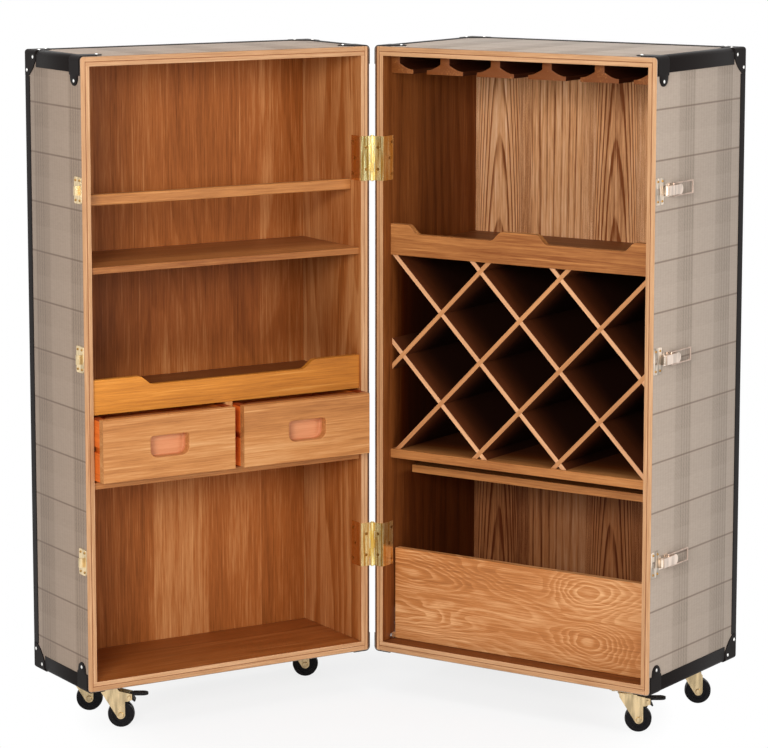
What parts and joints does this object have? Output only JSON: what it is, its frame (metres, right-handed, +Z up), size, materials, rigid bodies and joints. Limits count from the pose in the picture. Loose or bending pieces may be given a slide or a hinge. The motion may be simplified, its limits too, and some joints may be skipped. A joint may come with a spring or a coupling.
{
  "type": "suitcase bar cabinet",
  "caption": "Upright suitcase bar cabinet on casters: two cloth-covered half cases hinged together, with bottle rack, stemware rails, shelves, drawers, drop flap and draw latches.",
  "frame": {"origin": "on the floor, under the middle of the opened cabinet's outline", "axes": "+Z up; the deep half's open front faces -Y and its latch side faces +X; the shallow half stands swung open on the -X side"},
  "size_m": [1.0798, 0.8984, 1.245],
  "materials": {
    "oak_edges": "satin",
    "oak_inside": "satin",
    "oak_boards": "satin",
    "drawer_wood": "satin",
    "covering": "matte",
    "black_edging": "semi gloss",
    "rivets": "polished",
    "brass": "polished",
    "pale_gold": "polished",
    "steel": "brushed",
    "wheels": "semi gloss",
    "pedals": "matte"
  },
  "bodies": {
    "deep_case": {"deep_shell": "oak_edges", "deep_lining": "oak_inside", "deep_covering": "covering", "deep_edging": "black_edging", "deep_rivets": "rivets", "stemware_rails": "oak_boards", "stem_shelf": "oak_boards", "stem_shelf_gallery": "oak_boards", "rack_slats_rising": "oak_boards", "rack_slats_falling": "oak_boards", "rack_floor": "oak_boards", "tray_shelf": "oak_boards", "flap_pivots": "steel", "latch_bases": "pale_gold", "deep_hinge_leaves": "brass", "hinge_pins": "brass", "deep_screws": "brass", "deep_caster_plates": "pale_gold"},
    "shallow_case": {"shallow_shell": "oak_edges", "shallow_lining": "oak_inside", "shallow_covering": "covering", "shallow_edging": "black_edging", "shallow_rivets": "rivets", "bottle_rail": "oak_boards", "upper_shelf": "oak_boards", "drawer_gallery": "oak_boards", "drawer_top_shelf": "oak_boards", "drawer_divider": "oak_boards", "drawer_board": "oak_boards", "drawer_runners": "oak_boards", "latch_catches": "pale_gold", "shallow_hinge_leaves": "brass", "shallow_screws": "brass", "shallow_caster_plates": "pale_gold"},
    "outer_drawer": {"outer_drawer_front": "oak_boards", "outer_drawer_box": "drawer_wood"},
    "inner_drawer": {"inner_drawer_front": "oak_boards", "inner_drawer_box": "drawer_wood"},
    "flap": {"drop_flap": "oak_boards", "flap_brackets": "steel"},
    "latch_lever_low": {"latch_lever_low": "pale_gold"},
    "latch_bail_low": {"latch_bail_low": "pale_gold"},
    "latch_lever_mid": {"latch_lever_mid": "pale_gold"},
    "latch_bail_mid": {"latch_bail_mid": "pale_gold"},
    "latch_lever_high": {"latch_lever_high": "pale_gold"},
    "latch_bail_high": {"latch_bail_high": "pale_gold"},
    "fork_deep_front": {"fork_deep_front": "pale_gold"},
    "wheel_deep_front": {"wheel_deep_front": "wheels"},
    "brake_pedal_deep": {"brake_pedal_deep": "pedals"},
    "fork_deep_rear": {"fork_deep_rear": "pale_gold"},
    "wheel_deep_rear": {"wheel_deep_rear": "wheels"},
    "fork_deep_hinge_side": {"fork_deep_hinge_side": "pale_gold"},
    "wheel_deep_hinge_side": {"wheel_deep_hinge_side": "wheels"},
    "fork_shallow_front": {"fork_shallow_front": "pale_gold"},
    "wheel_shallow_front": {"wheel_shallow_front": "wheels"},
    "brake_pedal_shallow": {"brake_pedal_shallow": "pedals"},
    "fork_shallow_rear": {"fork_shallow_rear": "pale_gold"},
    "wheel_shallow_rear": {"wheel_shallow_rear": "wheels"},
    "fork_shallow_hinge_side": {"fork_shallow_hinge_side": "pale_gold"},
    "wheel_shallow_hinge_side": {"wheel_shallow_hinge_side": "wheels"}
  },
  "joints": [
    {"name": "case_hinge", "type": "hinge", "parent": "deep_case", "child": "shallow_case", "pos_m": [-0.07559, 0.10398, 0.662], "axis": [0, 0, -1], "range_deg": [-114.7, 65.2]},
    {"name": "outer_drawer_slide", "type": "slide", "parent": "shallow_case", "child": "outer_drawer", "axis": [0.9084, -0.4182, 0], "range_m": [-0.041, 0.1]},
    {"name": "inner_drawer_slide", "type": "slide", "parent": "shallow_case", "child": "inner_drawer", "axis": [0.9084, -0.4182, 0], "range_m": [-0.041, 0.1]},
    {"name": "flap_hinge", "type": "hinge", "parent": "deep_case", "child": "flap", "pos_m": [0.22941, 0.13498, 0.1065], "axis": [1, 0, 0], "range_deg": [0, 90]},
    {"name": "latch_lever_low_pivot", "type": "hinge", "parent": "deep_case", "child": "latch_lever_low", "pos_m": [0.53491, 0.13698, 0.324], "axis": [0, 0, -1], "range_deg": [0, 110]},
    {"name": "latch_bail_low_pivot", "type": "hinge", "parent": "latch_lever_low", "child": "latch_bail_low", "pos_m": [0.53541, 0.16198, 0.324], "axis": [0, 0, 1], "range_deg": [-180, 0]},
    {"name": "latch_lever_mid_pivot", "type": "hinge", "parent": "deep_case", "child": "latch_lever_mid", "pos_m": [0.53491, 0.13698, 0.697], "axis": [0, 0, -1], "range_deg": [0, 110]},
    {"name": "latch_bail_mid_pivot", "type": "hinge", "parent": "latch_lever_mid", "child": "latch_bail_mid", "pos_m": [0.53541, 0.16198, 0.697], "axis": [0, 0, 1], "range_deg": [-180, 0]},
    {"name": "latch_lever_high_pivot", "type": "hinge", "parent": "deep_case", "child": "latch_lever_high", "pos_m": [0.53491, 0.13698, 1.003], "axis": [0, 0, -1], "range_deg": [0, 110]},
    {"name": "latch_bail_high_pivot", "type": "hinge", "parent": "latch_lever_high", "child": "latch_bail_high", "pos_m": [0.53541, 0.16198, 1.003], "axis": [0, 0, 1], "range_deg": [-180, 0]},
    {"name": "swivel_deep_front", "type": "hinge", "parent": "deep_case", "child": "fork_deep_front", "pos_m": [0.46541, 0.13598, 0.073], "axis": [0, 0, 1], "continuous": true},
    {"name": "roll_deep_front", "type": "hinge", "parent": "fork_deep_front", "child": "wheel_deep_front", "pos_m": [0.48368, 0.14824, 0.025], "axis": [-0.5572, 0.8304, 0], "continuous": true},
    {"name": "brake_pedal_deep_pivot", "type": "hinge", "parent": "fork_deep_front", "child": "brake_pedal_deep", "pos_m": [0.49696, 0.15716, 0.058], "axis": [0.5572, -0.8304, 0], "range_deg": [0, 12]},
    {"name": "swivel_deep_rear", "type": "hinge", "parent": "deep_case", "child": "fork_deep_rear", "pos_m": [0.46541, 0.36799, 0.073], "axis": [0, 0, 1], "continuous": true},
    {"name": "roll_deep_rear", "type": "hinge", "parent": "fork_deep_rear", "child": "wheel_deep_rear", "pos_m": [0.48368, 0.38024, 0.025], "axis": [-0.5572, 0.8304, 0], "continuous": true},
    {"name": "swivel_deep_hinge_side", "type": "hinge", "parent": "deep_case", "child": "fork_deep_hinge_side", "pos_m": [-0.00459, 0.36799, 0.073], "axis": [0, 0, 1], "continuous": true},
    {"name": "roll_deep_hinge_side", "type": "hinge", "parent": "fork_deep_hinge_side", "child": "wheel_deep_hinge_side", "pos_m": [0.01367, 0.38024, 0.025], "axis": [-0.5572, 0.8304, 0], "continuous": true},
    {"name": "swivel_shallow_front", "type": "hinge", "parent": "shallow_case", "child": "fork_shallow_front", "pos_m": [-0.34362, -0.3682, 0.073], "axis": [0, 0, 1], "continuous": true},
    {"name": "roll_shallow_front", "type": "hinge", "parent": "fork_shallow_front", "child": "wheel_shallow_front", "pos_m": [-0.32535, -0.35595, 0.025], "axis": [-0.5572, 0.8304, 0], "continuous": true},
    {"name": "brake_pedal_shallow_pivot", "type": "hinge", "parent": "fork_shallow_front", "child": "brake_pedal_shallow", "pos_m": [-0.31206, -0.34703, 0.058], "axis": [0.5572, -0.8304, 0], "range_deg": [0, 12]},
    {"name": "swivel_shallow_rear", "type": "hinge", "parent": "shallow_case", "child": "fork_shallow_rear", "pos_m": [-0.46352, -0.313, 0.073], "axis": [0, 0, 1], "continuous": true},
    {"name": "roll_shallow_rear", "type": "hinge", "parent": "fork_shallow_rear", "child": "wheel_shallow_rear", "pos_m": [-0.44525, -0.30074, 0.025], "axis": [-0.5572, 0.8304, 0], "continuous": true},
    {"name": "swivel_shallow_hinge_side", "type": "hinge", "parent": "shallow_case", "child": "fork_shallow_hinge_side", "pos_m": [-0.26697, 0.11393, 0.073], "axis": [0, 0, 1], "continuous": true},
    {"name": "roll_shallow_hinge_side", "type": "hinge", "parent": "fork_shallow_hinge_side", "child": "wheel_shallow_hinge_side", "pos_m": [-0.2487, 0.12619, 0.025], "axis": [-0.5572, 0.8304, 0], "continuous": true}
  ]
}
